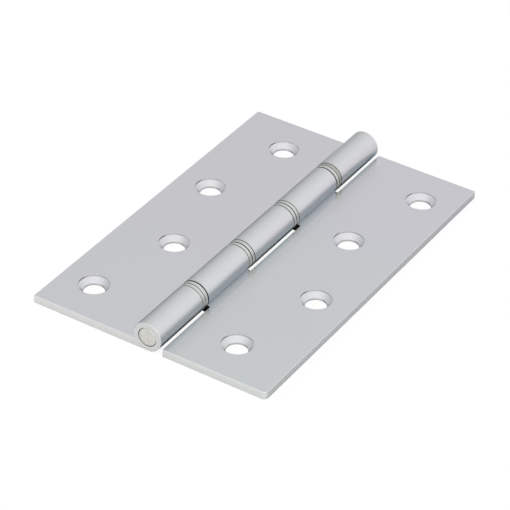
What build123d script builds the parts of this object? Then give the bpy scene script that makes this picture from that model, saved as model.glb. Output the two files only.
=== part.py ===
"""Butt hinge with double steel washers, lying open and flat, countersunk faces up.

The origin is under the middle of the pin, on the plane of the leaves' backs. +Y runs along the pin,
+X towards the leaf with two knuckles, and +Z is up. All sizes are in millimetres.
"""

import os
from math import atan2, degrees, sqrt

from build123d import *

# Leaves
HINGE_LENGTH = 102.0
LEAF_REACH = 33.5  # pin axis to the outer edge of a leaf
LEAF_THICKNESS = 2.2
EDGE_CHAMFER = 0.12  # outer corners, and the edges round the outside of a leaf

# Barrel
KNUCKLE_RADIUS = 4.0
KNUCKLE_COUNT = 5
NOTCH_CLEARANCE = 0.42  # knuckle to the edge of the other leaf

# Pin
PIN_RADIUS = 2.5
PIN_END_CHAMFER = 0.15
PIN_RUNNING_CLEARANCE = 0.05  # all round, in the leaf that turns on the pin
MOUTH_CLEARANCE = 0.1  # all round the ends of the pin, where the bore opens out
MOUTH_DEPTH = 0.6

# Washers
WASHER_SETBACK = 0.05  # surface of the knuckles down to the rim of a washer
WASHER_THICKNESS = 0.97
WASHER_BORE_CLEARANCE = 0.08  # all round the pin
JOINT_PLAY = 0.76  # end float left at each joint
JOINT_SHIFT = -0.2  # joints from even places along the barrel

# Shares of the end float before, between and after the two washers of each joint, from the near end on
PLAY_SHARES = (
    (0.29, 0.24, 0.47),
    (0.34, 0.4, 0.26),
    (0.41, 0.36, 0.23),
    (0.55, 0.25, 0.2),
)

# Screw holes
SCREW_HOLE_RADIUS = 2.75
COUNTERSINK_RADIUS = 4.0
COUNTERSINK_ANGLE = 90.0
COUNTERSINK_SINK = 0.4  # straight wall above the cone
HOLE_PITCH = 26.0
INNER_HOLE_REACH = 17.8  # pin axis to the holes nearer the barrel
OUTER_HOLE_REACH = 24.0

# Sizes worked out from those above
HALF_LENGTH = HINGE_LENGTH / 2
JOINT_LENGTH = 2 * WASHER_THICKNESS + JOINT_PLAY
KNUCKLE_LENGTH = (HINGE_LENGTH - (KNUCKLE_COUNT - 1) * JOINT_LENGTH) / KNUCKLE_COUNT
KNUCKLE_PITCH = KNUCKLE_LENGTH + JOINT_LENGTH
WASHER_RADIUS = KNUCKLE_RADIUS - WASHER_SETBACK
NOTCH_REACH = KNUCKLE_RADIUS + NOTCH_CLEARANCE
NOTCH_LENGTH = KNUCKLE_LENGTH + 2 * JOINT_LENGTH
HOLE_REACHES = (INNER_HOLE_REACH, OUTER_HOLE_REACH, INNER_HOLE_REACH, OUTER_HOLE_REACH)

# Sides of the pin that the leaves lie on, and the knuckles of each leaf, counted from 0 at the near end
LEFT = -1
RIGHT = 1
OUTER_KNUCKLES = range(0, KNUCKLE_COUNT, 2)
INNER_KNUCKLES = range(1, KNUCKLE_COUNT, 2)


def knuckle_centre(number):
    """Place along the pin of a knuckle, counted from 0 at the near end."""
    return (number - (KNUCKLE_COUNT - 1) / 2) * KNUCKLE_PITCH + JOINT_SHIFT


def barrel_plane(y):
    """Plane across the barrel, centred on the pin, that looks along +Y."""
    return Plane(origin=(0, y, KNUCKLE_RADIUS), x_dir=(1, 0, 0), z_dir=(0, 1, 0))


def leaf_section(side):
    """Outline of a leaf and its knuckle across the pin, drawn as the brass is drawn to shape."""
    root_rise = LEAF_THICKNESS - KNUCKLE_RADIUS
    root_reach = sqrt(KNUCKLE_RADIUS**2 - root_rise**2)
    root_angle = degrees(atan2(root_rise, root_reach))
    with BuildSketch(Plane(origin=(0, 0, 0), x_dir=(side, 0, 0), z_dir=(0, -side, 0))) as section:
        with BuildLine():
            back = Line((LEAF_REACH, 0), (0, 0))
            knuckle = CenterArc((0, KNUCKLE_RADIUS), KNUCKLE_RADIUS, root_angle, 270 - root_angle)
            face = Line(knuckle @ 0, (LEAF_REACH, LEAF_THICKNESS))
            Line(face @ 1, back @ 0)
        make_face()
    return section.sketch


def outside_edges(leaf, outward):
    """Edges round the outside of a leaf: its outer corners, its long sides and the outlines of its ends."""
    near_end, *_, far_end = leaf.edges().group_by(Axis.Y)
    outlines = ShapeList(near_end + far_end).filter_by(Axis.Z, reverse=True)
    corners = leaf.edges().filter_by(Axis.Z).group_by(outward)[-1]
    long_sides = leaf.edges().filter_by(Axis.Y).group_by(outward)[-1]
    return outlines + corners + long_sides


def make_leaf(label, side, own_knuckles, bore_radius):
    """One leaf: section drawn to shape, notched for the other leaf's knuckles, drilled and countersunk."""
    other_knuckles = [n for n in range(KNUCKLE_COUNT) if n not in own_knuckles]
    outward = Axis((0, 0, 0), (side, 0, 0))
    section = leaf_section(side)
    with BuildPart() as leaf:
        extrude(section, amount=HALF_LENGTH, both=True)

        # Notches that take the other leaf's knuckles and the washers beside them
        with BuildSketch(Plane.XY):
            with Locations(*[(0, knuckle_centre(n)) for n in other_knuckles]):
                Rectangle(2 * NOTCH_REACH, NOTCH_LENGTH)
        extrude(amount=2 * KNUCKLE_RADIUS, mode=Mode.SUBTRACT)

        # Corners and edges are broken all round the outside
        chamfer(outside_edges(leaf, outward), EDGE_CHAMFER)

        # Bore for the pin, which opens out a little at the ends of the barrel
        with BuildSketch(barrel_plane(0)):
            Circle(bore_radius)
        extrude(amount=HALF_LENGTH, both=True, mode=Mode.SUBTRACT)
        with BuildSketch(barrel_plane(-HALF_LENGTH), barrel_plane(HALF_LENGTH)):
            Circle(PIN_RADIUS + MOUTH_CLEARANCE)
        extrude(amount=MOUTH_DEPTH, both=True, mode=Mode.SUBTRACT)

        # Countersunk screw holes, staggered nearer to and further from the barrel
        cone_top = LEAF_THICKNESS - COUNTERSINK_SINK
        with Locations(Plane(origin=(0, 0, cone_top), x_dir=(side, 0, 0), z_dir=(0, 0, 1))):
            first = -HOLE_PITCH * (len(HOLE_REACHES) - 1) / 2
            with Locations(*[(reach, first + HOLE_PITCH * n) for n, reach in enumerate(HOLE_REACHES)]):
                CounterSinkHole(SCREW_HOLE_RADIUS, COUNTERSINK_RADIUS, counter_sink_angle=COUNTERSINK_ANGLE)
    leaf.part.label = label
    return leaf.part


def make_pin():
    """Plain steel pin, as long as the barrel and flush with it at both ends."""
    with BuildPart() as pin:
        with BuildSketch(barrel_plane(0)):
            Circle(PIN_RADIUS)
        extrude(amount=HALF_LENGTH, both=True)
        chamfer(pin.edges().filter_by(GeomType.CIRCLE), PIN_END_CHAMFER)
    pin.part.label = "hinge_pin"
    return pin.part


def make_washer(label, near_face):
    """One plain steel washer on the pin, from its near face on."""
    with BuildPart() as washer:
        with BuildSketch(barrel_plane(near_face)):
            Circle(WASHER_RADIUS)
            Circle(PIN_RADIUS + WASHER_BORE_CLEARANCE, mode=Mode.SUBTRACT)
        extrude(amount=WASHER_THICKNESS)
    washer.part.label = label
    return washer.part


parts = [
    make_leaf("three_knuckle_leaf", LEFT, OUTER_KNUCKLES, PIN_RADIUS),
    make_leaf("two_knuckle_leaf", RIGHT, INNER_KNUCKLES, PIN_RADIUS + PIN_RUNNING_CLEARANCE),
    make_pin(),
]

# Two washers at each joint between knuckles
for joint in range(KNUCKLE_COUNT - 1):
    before, between, _ = PLAY_SHARES[joint % len(PLAY_SHARES)]
    near_face = knuckle_centre(joint) + KNUCKLE_LENGTH / 2 + before * JOINT_PLAY
    far_face = near_face + WASHER_THICKNESS + between * JOINT_PLAY
    parts.append(make_washer(f"washer_{joint + 1}_near", near_face))
    parts.append(make_washer(f"washer_{joint + 1}_far", far_face))

os.makedirs("parts", exist_ok=True)
for part in parts:
    export_step(part, f"parts/{part.label}.step")
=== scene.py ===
"""Washered butt hinge in satin chrome on drawn brass, lying open and flat on a pale floor.

The frame holds every piece at its real size and place. The sections below follow the hinge as it is put
together, leaves, pin and washers, and then set it on its floor, light it and look at it.
"""

import math

import bmesh
import bpy
from mathutils import Matrix, Vector


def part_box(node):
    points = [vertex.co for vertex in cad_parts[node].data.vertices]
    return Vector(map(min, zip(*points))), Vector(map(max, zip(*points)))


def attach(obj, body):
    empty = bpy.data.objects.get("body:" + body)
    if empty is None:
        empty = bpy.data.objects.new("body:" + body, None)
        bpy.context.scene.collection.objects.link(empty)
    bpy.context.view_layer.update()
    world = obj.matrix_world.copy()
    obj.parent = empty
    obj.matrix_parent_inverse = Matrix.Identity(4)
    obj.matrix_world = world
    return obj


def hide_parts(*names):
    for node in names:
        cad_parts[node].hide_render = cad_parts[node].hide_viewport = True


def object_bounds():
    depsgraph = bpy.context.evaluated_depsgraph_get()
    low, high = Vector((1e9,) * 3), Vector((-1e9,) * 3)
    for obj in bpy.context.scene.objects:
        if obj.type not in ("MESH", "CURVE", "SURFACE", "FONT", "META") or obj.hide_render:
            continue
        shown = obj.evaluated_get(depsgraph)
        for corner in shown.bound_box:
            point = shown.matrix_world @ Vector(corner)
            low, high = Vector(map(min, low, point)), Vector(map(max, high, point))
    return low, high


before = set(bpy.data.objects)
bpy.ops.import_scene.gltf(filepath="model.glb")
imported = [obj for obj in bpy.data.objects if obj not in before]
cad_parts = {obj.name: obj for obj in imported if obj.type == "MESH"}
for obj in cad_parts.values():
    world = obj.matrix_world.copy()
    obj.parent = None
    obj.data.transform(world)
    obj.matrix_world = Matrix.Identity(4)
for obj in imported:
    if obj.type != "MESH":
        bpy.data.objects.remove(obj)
cad_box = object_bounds()


# Leaves
# Two leaves of solid drawn brass, each one piece with its knuckles, notched, drilled and countersunk.
# They are rubbed down along their length and then plated, which leaves a fine satin grain under the chrome.
# Buffing has turned up the faces inside the screw holes, and shade is painted under the left of their rims.
class Socket:
    """A shader socket that takes part in plain sums, each of which adds a Math node."""

    def __init__(self, finish, output):
        self.finish = finish
        self.output = output

    def math(self, operation, first, second):
        return self.finish.node(
            "ShaderNodeMath", {"operation": operation}, {"Value": first, "Value_001": second}
        )

    def __add__(self, other):
        return self.math("ADD", self, other)

    def __sub__(self, other):
        return self.math("SUBTRACT", self, other)

    def __rsub__(self, other):
        return self.math("SUBTRACT", other, self)

    def __mul__(self, other):
        return self.math("MULTIPLY", self, other)

    def __gt__(self, other):
        return self.math("GREATER_THAN", self, other)

    def __lt__(self, other):
        return self.math("LESS_THAN", self, other)

    def __abs__(self):
        return self.math("ABSOLUTE", self, 0.0)

    def __neg__(self):
        return 0.0 - self

    def at_most(self, limit):
        return self.math("MINIMUM", self, limit)

    def at_least(self, limit):
        return self.math("MAXIMUM", self, limit)

    def ramp(self, start, full):
        """0 at start and before it, 1 at full and past it."""
        return self.finish.node(
            "ShaderNodeMapRange", {}, {"Value": self, "From Min": start, "From Max": full}
        )

    __radd__ = __add__
    __rmul__ = __mul__


class Finish:
    """The nodes of one material or of the world."""

    def __init__(self, owner):
        owner.use_nodes = True
        self.owner = owner
        self.tree = owner.node_tree
        self.tree.nodes.clear()

    def node(self, kind, settings=None, sockets=None, output=None):
        """Add a node: its settings come first, then the values or links of its sockets."""
        node = self.tree.nodes.new(kind)
        for name, value in (settings or {}).items():
            setattr(node, name, value)
        inputs = {socket.identifier: socket for socket in node.inputs}
        for name, value in (sockets or {}).items():
            if isinstance(value, Socket):
                self.tree.links.new(value.output, inputs[name])
            else:
                inputs[name].default_value = value
        outputs = {socket.identifier: socket for socket in node.outputs}
        return Socket(self, outputs.get(output) or next(iter(node.outputs), None))

    def noise(self, place, lengths, detail=2.0, offset=(0.0, 0.0, 0.0)):
        """Noise from 0 to 1 whose marks have the given lengths in metres along X, Y and Z."""
        scale = [1 / length for length in lengths]
        stretched = self.node(
            "ShaderNodeMapping", {}, {"Vector": place, "Location": offset, "Scale": scale}
        )
        return self.node("ShaderNodeTexNoise", {}, {"Vector": stretched, "Scale": 1.0, "Detail": detail})

    def shade(self, factor, first, second):
        """Colour between two colours, each a socket or plain numbers."""
        first, second = (c if isinstance(c, Socket) else (*c, 1.0) for c in (first, second))
        sockets = {"Factor_Float": factor, "A_Color": first, "B_Color": second}
        return self.node("ShaderNodeMix", {"data_type": "RGBA"}, sockets, "Result_Color")

    def axes(self, vector):
        """X, Y and Z of a vector."""
        return [self.node("ShaderNodeSeparateXYZ", {}, {"Vector": vector}, axis) for axis in "XYZ"]

    def place(self):
        """Place on the hinge in metres: across the pin, along it, and up."""
        return self.node("ShaderNodeTexCoord", output="Object")

    def facing(self):
        """Way that the surface faces: across the pin, along it, and up."""
        return self.node("ShaderNodeTexCoord", output="Normal")


# Barrel and leaves in the frame, with places just past them or just short of their ends
BARREL_RADIUS = (cad_box[1][2] - cad_box[0][2]) / 2
AXIS_HEIGHT = cad_box[0][2] + BARREL_RADIUS
LEAF_THICKNESS = 0.0022
PAST_BARREL = BARREL_RADIUS + 0.0001
PAST_NOTCHES = BARREL_RADIUS + 0.0009
SHORT_OF_ENDS = cad_box[1][1] - 0.0005
ABOVE_LEAVES = LEAF_THICKNESS + 0.00001

# Painted shade on the faces between the knuckles and round the notches, and how squarely a flat face looks
# along an axis
GAP_SHADE_COLOUR = (0.05, 0.05, 0.05)
SQUARE_ON = 0.95


def inner_faces(finish):
    """1 on the flat faces between the knuckles and round the notches, 0 elsewhere."""
    facing_across, facing_along, _ = finish.axes(finish.facing())
    across, along, _ = finish.axes(finish.place())
    ends = abs(facing_along) > SQUARE_ON
    walls = (abs(facing_across) > SQUARE_ON) * (abs(across) > PAST_BARREL)
    return (ends + walls) * (abs(across) < PAST_NOTCHES) * (abs(along) < SHORT_OF_ENDS)


# Screw holes by place, their cones and walls by how they face, and the painted shade under their rims
HOLES_REACH = 0.0300
HOLES_END = 0.0460
CONE_STEEPEST = 0.3
CONE_FLATTEST = 0.9
CONE_BUFFING = 0.48
WALL_UPRIGHT = 0.1
WALL_TURNS = 0.4
WALL_BUFFING = 0.55
RIM_BOTTOM = LEAF_THICKNESS - 0.0005
RIM_LEFT = 0.8
RIM_NEAR = -0.35
PAINTED_RIM_SHADE = 0.4


def screw_holes(finish):
    """Facing of a leaf as buffed, and the painted shade under the left of the rims of its screw holes."""
    facing = finish.facing()
    facing_across, facing_along, facing_up = finish.axes(facing)
    across, along, height = finish.axes(finish.place())
    holes = (abs(across) > PAST_NOTCHES) * (abs(across) < HOLES_REACH) * (abs(along) < HOLES_END)
    cones = holes * (facing_up > CONE_STEEPEST) * (facing_up < CONE_FLATTEST)
    walls = holes * (abs(facing_up) < WALL_UPRIGHT)
    leftward = (-facing_across).ramp(-WALL_TURNS, WALL_TURNS)
    lift = finish.node(
        "ShaderNodeCombineXYZ", {}, {"Z": cones * CONE_BUFFING + walls * leftward * WALL_BUFFING}
    )
    turned = finish.node("ShaderNodeVectorMath", {"operation": "ADD"}, {"Vector": facing, "Vector_001": lift})
    buffed = finish.node(
        "ShaderNodeVectorTransform",
        {"vector_type": "NORMAL", "convert_from": "OBJECT", "convert_to": "WORLD"},
        {"Vector": turned},
    )
    # Painted shade under the left of the rims
    rim_left = walls * (facing_across > RIM_LEFT) * (facing_along > RIM_NEAR) * (height > RIM_BOTTOM)
    return buffed, rim_left * PAINTED_RIM_SHADE


# Right leaf beside the barrel: painted shade in the crease, then a brighter strip of painted reflection that
# fades towards the far end
CREASE_PAINTED_SHADE = (0.45, 0.456, 0.46)
CREASE_STARTS = 0.0035
CREASE_FADES = 0.0040
CREASE_GONE = 0.0044
STRIP_PAINTED_LIGHT = (0.776, 0.773, 0.741)
STRIP_STARTS = 0.0042
STRIP_RISES = 0.0050
STRIP_FALLS = 0.0055
STRIP_ENDS = 0.0068
STRIP_FADES = 0.0465
STRIP_GONE = 0.0495

# Painted reflections on the crown and right side of the barrel, placed by how far they face up, and on the
# root of its right side by height
CROWN_PAINTED_REFLECTION = (0.553, 0.562, 0.553)
CROWN_STARTS = 0.50
CROWN_FULL = 0.85
SIDE_STARTS = 0.32
SIDE_FULL = 0.05
ROOT_STARTS = 0.0036
ROOT_FULL = 0.0024

# Painted shade on the ends of the barrel, and the brown at the start of its last knuckle
RING_PAINTED_SHADE = (0.535, 0.547, 0.553)
BROWN = (0.39, 0.383, 0.352)
BROWN_STARTS = 0.0318
BROWN_ENDS = 0.0333

# Faint clouds in the plating
CHROME_CLOUD = 0.04
CLOUD_MIDDLE = 0.5


def plating_with_painted_light(finish, cloud, near_tint, far_tint, side_painted_reflection, root_painted_reflection):
    """Colour of the chrome, which changes faintly in tint from end to end, with painted light and shade.

    Painted shade darkens the crease beside the barrel and the ends of the barrel. Painted reflections
    brighten a strip of the right leaf beside the barrel, grey the crown and make the barrel's right side
    bluer and darker, with its root lighter on the right leaf. The last knuckle is browned where its washer
    has rubbed it.
    """
    across, along, height = finish.axes(finish.place())
    facing_across, facing_along, facing_up = finish.axes(finish.facing())
    tops = facing_up > SQUARE_ON
    barrel = height > ABOVE_LEAVES

    share = along.ramp(-SHORT_OF_ENDS, SHORT_OF_ENDS) + (cloud - CLOUD_MIDDLE) * CHROME_CLOUD
    colour = finish.shade(share, near_tint, far_tint)

    # Painted shade in the crease beside the barrel
    crease = across.ramp(CREASE_GONE, CREASE_FADES) * (across > CREASE_STARTS) * tops
    colour = finish.shade(crease, colour, CREASE_PAINTED_SHADE)

    # Painted reflection on the strip beside the crease
    strip = across.ramp(STRIP_STARTS, STRIP_RISES) * across.ramp(STRIP_ENDS, STRIP_FALLS)
    colour = finish.shade(strip * along.ramp(STRIP_GONE, STRIP_FADES) * tops, colour, STRIP_PAINTED_LIGHT)

    # Painted reflection greys the crown
    crown = facing_up.ramp(CROWN_STARTS, CROWN_FULL) * (height > AXIS_HEIGHT)
    colour = finish.shade(crown, colour, CROWN_PAINTED_REFLECTION)

    # Painted reflection on the right side of the barrel and at its root, each leaf with its own tints
    right_side = facing_up.ramp(SIDE_STARTS, SIDE_FULL) * (facing_across > 0.0) * barrel
    side = finish.shade(height.ramp(ROOT_STARTS, ROOT_FULL), side_painted_reflection, root_painted_reflection)
    colour = finish.shade(right_side, colour, side)

    # Painted shade on the ends of the barrel
    ring = (abs(facing_along) > SQUARE_ON) * (abs(along) > SHORT_OF_ENDS) * barrel
    colour = finish.shade(ring, colour, RING_PAINTED_SHADE)

    browned = along.ramp(BROWN_ENDS, BROWN_STARTS) * (along > BROWN_STARTS)
    return finish.shade(browned * (abs(across) < PAST_BARREL), colour, BROWN)


# Satin grain under the plating, and how the plating reflects
GRAIN_WIDTH = 0.00009
GRAIN_LENGTH = 0.004
GRAIN_DEPTH = 0.0000006
GRAIN_DETAIL = 3.0
GRAIN_MIDDLE = 0.5
CLOUD_SIZE = 0.009
CHROME_ROUGHNESS = 0.28
CHROME_ROUGHNESS_SPREAD = 0.02
BARREL_ROUGHER = 0.05
CHROME_EDGE = (0.57, 0.62, 0.66, 1.0)


def satin_chrome(name, grain_offset, **tints):
    """Chrome over brass that was rubbed down along Y."""
    finish = Finish(bpy.data.materials.new(name))
    place = finish.place()
    grain = finish.noise(place, (GRAIN_WIDTH, GRAIN_LENGTH, GRAIN_WIDTH), GRAIN_DETAIL, grain_offset)
    cloud = finish.noise(place, (CLOUD_SIZE, CLOUD_SIZE, CLOUD_SIZE), GRAIN_DETAIL, grain_offset)
    _, _, height = finish.axes(place)
    barrel = height > ABOVE_LEAVES
    rough = CHROME_ROUGHNESS + barrel * BARREL_ROUGHER + (grain - GRAIN_MIDDLE) * CHROME_ROUGHNESS_SPREAD
    buffed, painted_rim_shade = screw_holes(finish)
    # Painted shade on the faces between the knuckles and round the notches, and under the left of the
    # screw-hole rims
    painted_shade = inner_faces(finish).at_least(painted_rim_shade)
    relief = finish.node(
        "ShaderNodeBump",
        {},
        {"Height": grain, "Strength": 1.0, "Distance": GRAIN_DEPTH, "Normal": buffed},
    )
    surface = finish.node(
        "ShaderNodeBsdfPrincipled",
        {},
        {
            "Base Color": finish.shade(painted_shade, plating_with_painted_light(finish, cloud, **tints), GAP_SHADE_COLOUR),
            "Metallic": 1.0,
            "Roughness": rough,
            "Specular Tint": CHROME_EDGE,
            "Normal": relief,
        },
    )
    finish.node("ShaderNodeOutputMaterial", {}, {"Surface": surface})
    return finish.owner


# Each leaf has its own stretch of the grain, its own tints from the plating bath from end to end, and its own
# painted reflections on the right of its knuckles
LEAVES = {
    "three_knuckle_leaf": {
        "grain_offset": (0.0, 0.0, 0.0),
        "near_tint": (0.570, 0.577, 0.579),
        "far_tint": (0.577, 0.567, 0.580),
        "side_painted_reflection": (0.41, 0.455, 0.48),
        "root_painted_reflection": (0.41, 0.455, 0.48),
    },
    "two_knuckle_leaf": {
        "grain_offset": (31.0, 17.0, 5.0),
        "near_tint": (0.558, 0.582, 0.572),
        "far_tint": (0.576, 0.566, 0.588),
        "side_painted_reflection": (0.40, 0.44, 0.467),
        "root_painted_reflection": (0.76, 0.805, 0.835),
    },
}
for leaf, look in LEAVES.items():
    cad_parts[leaf].material_slots[0].material = satin_chrome(f"satin_chrome_{leaf}", **look)


# Filed corner
# The near outer corner of the right brass leaf is filed round, with its edges broken above and below.
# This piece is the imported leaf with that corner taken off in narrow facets, and it stands for the leaf.
EDGE_CHAMFER = 0.00012
FILED_RADIUS = 0.0012
FILED_REACH = 2 * FILED_RADIUS
FILED_FACETS = 8
WELD = 0.000001
CUT_TOLERANCE = 0.0000001
SMOOTH_UP_TO = math.radians(30)

# Slope and height of each stroke of the file: upright, then along the upper edge and the lower edge
FILE_STROKES = ((0, 0.0), (1, LEAF_THICKNESS - EDGE_CHAMFER), (-1, EDGE_CHAMFER))


def file_off(shape, corner, point, outward):
    """Take the corner of a leaf off along a plane, and close the cut."""
    faces = [f for f in shape.faces if any((v.co.xy - corner).length < FILED_REACH for v in f.verts)]
    edges = dict.fromkeys(edge for face in faces for edge in face.edges)
    verts = dict.fromkeys(vert for face in faces for vert in face.verts)
    cut = bmesh.ops.bisect_plane(
        shape,
        geom=[*faces, *edges, *verts],
        dist=CUT_TOLERANCE,
        plane_co=point,
        plane_no=outward,
        clear_outer=True,
    )
    rim = [part for part in cut["geom_cut"] if isinstance(part, bmesh.types.BMEdge)]
    bmesh.ops.edgeloop_fill(shape, edges=rim)


packed_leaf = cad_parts["two_knuckle_leaf"]
lowest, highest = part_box("two_knuckle_leaf")
leaf_corner = Vector((highest[0], lowest[1]))
arc_centre = Vector((leaf_corner.x - FILED_RADIUS, leaf_corner.y + FILED_RADIUS, 0.0))

filed = bmesh.new()
filed.from_mesh(packed_leaf.data)
bmesh.ops.remove_doubles(filed, verts=filed.verts, dist=WELD)
for facet in range(FILED_FACETS):
    turn = math.pi / 2 * (facet + 0.5) / FILED_FACETS
    outward = Vector((math.cos(turn), -math.sin(turn), 0.0))
    for slope, height in FILE_STROKES:
        point = arc_centre + outward * FILED_RADIUS + Vector((0.0, 0.0, height))
        file_off(filed, leaf_corner, point, outward + Vector((0.0, 0.0, slope)))
bmesh.ops.recalc_face_normals(filed, faces=filed.faces)

filed_mesh = bpy.data.meshes.new("filed_two_knuckle_leaf")
filed.to_mesh(filed_mesh)
filed.free()
filed_mesh.attributes.remove(filed_mesh.attributes["custom_normal"])
filed_mesh.set_sharp_from_angle(angle=SMOOTH_UP_TO)
filed_mesh.materials.append(packed_leaf.material_slots[0].material)
filed_leaf = bpy.data.objects.new("filed_two_knuckle_leaf", filed_mesh)
bpy.context.scene.collection.objects.link(filed_leaf)
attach(filed_leaf, "two_knuckle_half")
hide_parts("two_knuckle_leaf")


# Pin
# One plain steel pin, pressed into the outer knuckles and cut flush with the barrel.
# Its ends are left bare, with the straight marks of the saw across them.
PIN_DARK = (0.46, 0.463, 0.44)
PIN_LIGHT = (0.60, 0.603, 0.57)
PIN_ROUGHNESS = 0.42
SAW_MARK_WIDTH = 0.00035
SAW_MARK_LENGTH = 0.006
SAW_MARK_DEPTH = 0.00001

pin_finish = Finish(bpy.data.materials.new("sawn_pin_steel"))
saw_marks = pin_finish.noise(pin_finish.place(), (SAW_MARK_WIDTH, SAW_MARK_LENGTH, SAW_MARK_LENGTH))
pin_relief = pin_finish.node(
    "ShaderNodeBump", {}, {"Height": saw_marks, "Strength": 1.0, "Distance": SAW_MARK_DEPTH}
)
pin_surface = pin_finish.node(
    "ShaderNodeBsdfPrincipled",
    {},
    {
        "Base Color": pin_finish.shade(saw_marks, PIN_DARK, PIN_LIGHT),
        "Metallic": 1.0,
        "Roughness": PIN_ROUGHNESS,
        "Normal": pin_relief,
    },
)
pin_finish.node("ShaderNodeOutputMaterial", {}, {"Surface": pin_surface})
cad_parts["hinge_pin"].material_slots[0].material = pin_finish.owner


# Washers
# Two plain steel washers at each joint between knuckles, punched from strip and left bare.
# Their rims carry fine lines from the punch, and their flat faces are painted black as shade in the joints.
# The last has browned.
WASHER_DARK = (0.50, 0.508, 0.475)
WASHER_LIGHT = (0.59, 0.60, 0.565)
BROWNED_DARK = (0.36, 0.355, 0.325)
BROWNED_LIGHT = (0.45, 0.445, 0.41)
BROWNED_WASHER = "washer_4_far"
WASHER_ROUGHNESS = 0.42
RIM_LINE_WIDTH = 0.00012
RIM_LINE_LENGTH = 0.003


def punched_steel(name, dark, light):
    """Bare steel with fine lines round the rim."""
    finish = Finish(bpy.data.materials.new(name))
    rim_lines = finish.noise(finish.place(), (RIM_LINE_LENGTH, RIM_LINE_WIDTH, RIM_LINE_LENGTH))
    rim = finish.shade(rim_lines, dark, light)
    # Painted shade on the flat faces in the joints
    surface = finish.node(
        "ShaderNodeBsdfPrincipled",
        {},
        {
            "Base Color": finish.shade(inner_faces(finish), rim, GAP_SHADE_COLOUR),
            "Metallic": 1.0,
            "Roughness": WASHER_ROUGHNESS,
            "Specular Tint": CHROME_EDGE,
        },
    )
    finish.node("ShaderNodeOutputMaterial", {}, {"Surface": surface})
    return finish.owner


bright_steel = punched_steel("bright_washer_steel", WASHER_DARK, WASHER_LIGHT)
browned_steel = punched_steel("browned_washer_steel", BROWNED_DARK, BROWNED_LIGHT)
for name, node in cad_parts.items():
    if name.startswith("washer"):
        node.material_slots[0].material = browned_steel if name == BROWNED_WASHER else bright_steel


# Floor
# A plain white table top, level with the backs of the leaves. It glows a little in the metal, to stay white
# there, but not in metal close above it, which sees the hinge's shade. The camera sees through it to the
# white room, with a little of that shade, so a leaf that swings down past the table stays in sight.
FLOOR_SIZE = 12.0
FLOOR_COLOUR = (0.80, 0.785, 0.76, 1.0)
FLOOR_GLOW = 0.92
GLOW_COLOUR = (1.0, 1.0, 1.0, 1.0)
GLOW_STARTS = 0.004
GLOW_FULL = 0.040

bpy.ops.mesh.primitive_plane_add(size=FLOOR_SIZE, location=(0, 0, cad_box[0][2]))
floor = bpy.context.object
floor.name = "floor"
floor_finish = Finish(bpy.data.materials.new("white_table_top"))
to_camera = floor_finish.node("ShaderNodeLightPath", output="Is Camera Ray")
to_metal = floor_finish.node("ShaderNodeLightPath", output="Is Glossy Ray")
to_glass = floor_finish.node("ShaderNodeLightPath", output="Is Transmission Ray")
sight = floor_finish.node("ShaderNodeLightPath", output="Ray Length")
whiteness = (to_camera + to_metal + to_glass) * sight.ramp(GLOW_STARTS, GLOW_FULL) * FLOOR_GLOW
matt = floor_finish.node("ShaderNodeBsdfDiffuse", {}, {"Color": FLOOR_COLOUR})
glow = floor_finish.node("ShaderNodeEmission", {}, {"Color": GLOW_COLOUR, "Strength": 1.0})
window = floor_finish.node("ShaderNodeBsdfTransparent")
white = floor_finish.node(
    "ShaderNodeMixShader", {}, {"Fac": to_camera, "Shader": glow, "Shader_001": window}
)
floor_surface = floor_finish.node(
    "ShaderNodeMixShader", {}, {"Fac": whiteness, "Shader": matt, "Shader_001": white}
)
floor_finish.node("ShaderNodeOutputMaterial", {}, {"Surface": floor_surface})
floor.data.materials.append(floor_finish.owner)


# Light
# A plain white room, brighter overhead, to the right and behind the camera than low on the left.
# A large soft lamp stands low at the left. The metal sees the room and not the lamp, which only lights
# the table, and the camera sees the room as plain white.
ROOM_LEVEL = 0.94
ROOM_TO_RIGHT = 0.25
ROOM_UPWARD = 0.381
ROOM_TOP = 0.5
ROOM_TO_FRONT = 0.577
ROOM_OVERHEAD = 0.75
OVERHEAD_STARTS = 0.75
ROOM_TINT = (0.985, 0.985, 1.015)
PLAIN_WHITE = (1.0, 1.0, 1.0)
LAMP_PLACE = Vector((-1.02, -0.48, 0.42))
LAMP_SIZE = 0.8
LAMP_POWER = 14.8
LAMP_COLOUR = (1.0, 0.985, 0.95)

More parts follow.
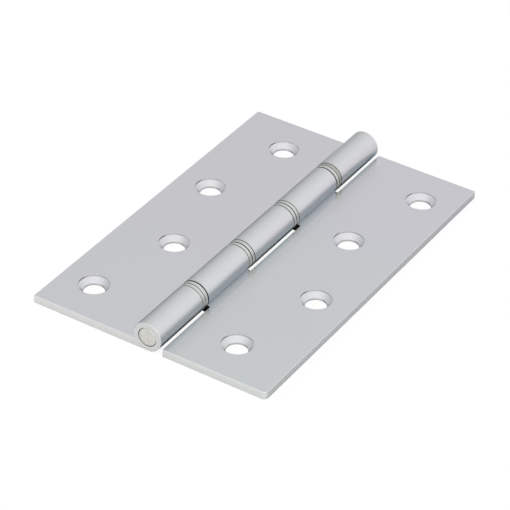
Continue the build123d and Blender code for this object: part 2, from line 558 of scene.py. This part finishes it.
room = bpy.data.worlds.new("white_room")
bpy.context.scene.world = room
room_finish = Finish(room)
towards = room_finish.node("ShaderNodeTexCoord", output="Generated")
rightward, forward, upward = room_finish.axes(towards)
sides = ROOM_LEVEL + ROOM_TO_RIGHT * rightward + ROOM_UPWARD * upward.at_most(ROOM_TOP)
front = ROOM_TO_FRONT * (-forward).at_least(0.0)
overhead = ROOM_OVERHEAD * (upward - OVERHEAD_STARTS).at_least(0.0)
seen = room_finish.node("ShaderNodeLightPath", output="Is Camera Ray")
strength = (1.0 - seen) * (sides + front + overhead) + seen
tint = room_finish.shade(seen, ROOM_TINT, PLAIN_WHITE)
room_light = room_finish.node("ShaderNodeBackground", {}, {"Color": tint, "Strength": strength})
room_finish.node("ShaderNodeOutputWorld", {}, {"Surface": room_light})

softbox = bpy.data.lights.new("softbox", "AREA")
softbox.size = LAMP_SIZE
softbox.energy = LAMP_POWER
softbox.color = LAMP_COLOUR
lamp = bpy.data.objects.new("softbox", softbox)
lamp.matrix_world = Matrix.Translation(LAMP_PLACE) @ LAMP_PLACE.to_track_quat("Z", "Y").to_matrix().to_4x4()
lamp.visible_glossy = False
bpy.context.scene.collection.objects.link(lamp)


# Camera
# It stands off the near right corner, well back with a long lens, and leans by a degree or two.
# The focal length is in pixels of the frame, and the aim is in metres to the right of and above the middle.
CAMERA_TURN = math.radians(31.22)
CAMERA_RISE = math.radians(35.71)
CAMERA_LEAN = math.radians(2.20)
CAMERA_DISTANCE = 0.64745
CAMERA_AIM = (-0.00164, -0.00161)
SENSOR_WIDTH = 36.0
FRAME_PIXELS = 510
FOCAL_PIXELS = 2565.2

back = Vector(
    (
        math.sin(CAMERA_TURN) * math.cos(CAMERA_RISE),
        -math.cos(CAMERA_TURN) * math.cos(CAMERA_RISE),
        math.sin(CAMERA_RISE),
    )
)
level = Vector((math.cos(CAMERA_TURN), math.sin(CAMERA_TURN), 0.0))
rise = back.cross(level)
right = math.cos(CAMERA_LEAN) * level + math.sin(CAMERA_LEAN) * rise
up = math.cos(CAMERA_LEAN) * rise - math.sin(CAMERA_LEAN) * level
stand = right * CAMERA_AIM[0] + up * CAMERA_AIM[1] + back * CAMERA_DISTANCE

lens = bpy.data.cameras.new("camera")
lens.sensor_width = SENSOR_WIDTH
lens.lens = FOCAL_PIXELS / FRAME_PIXELS * SENSOR_WIDTH
camera = bpy.data.objects.new("camera", lens)
camera.matrix_world = Matrix.Translation(stand) @ Matrix((right, up, back)).transposed().to_4x4()
bpy.context.scene.collection.objects.link(camera)
bpy.context.scene.camera = camera
bpy.context.scene.view_settings.view_transform = "Standard"
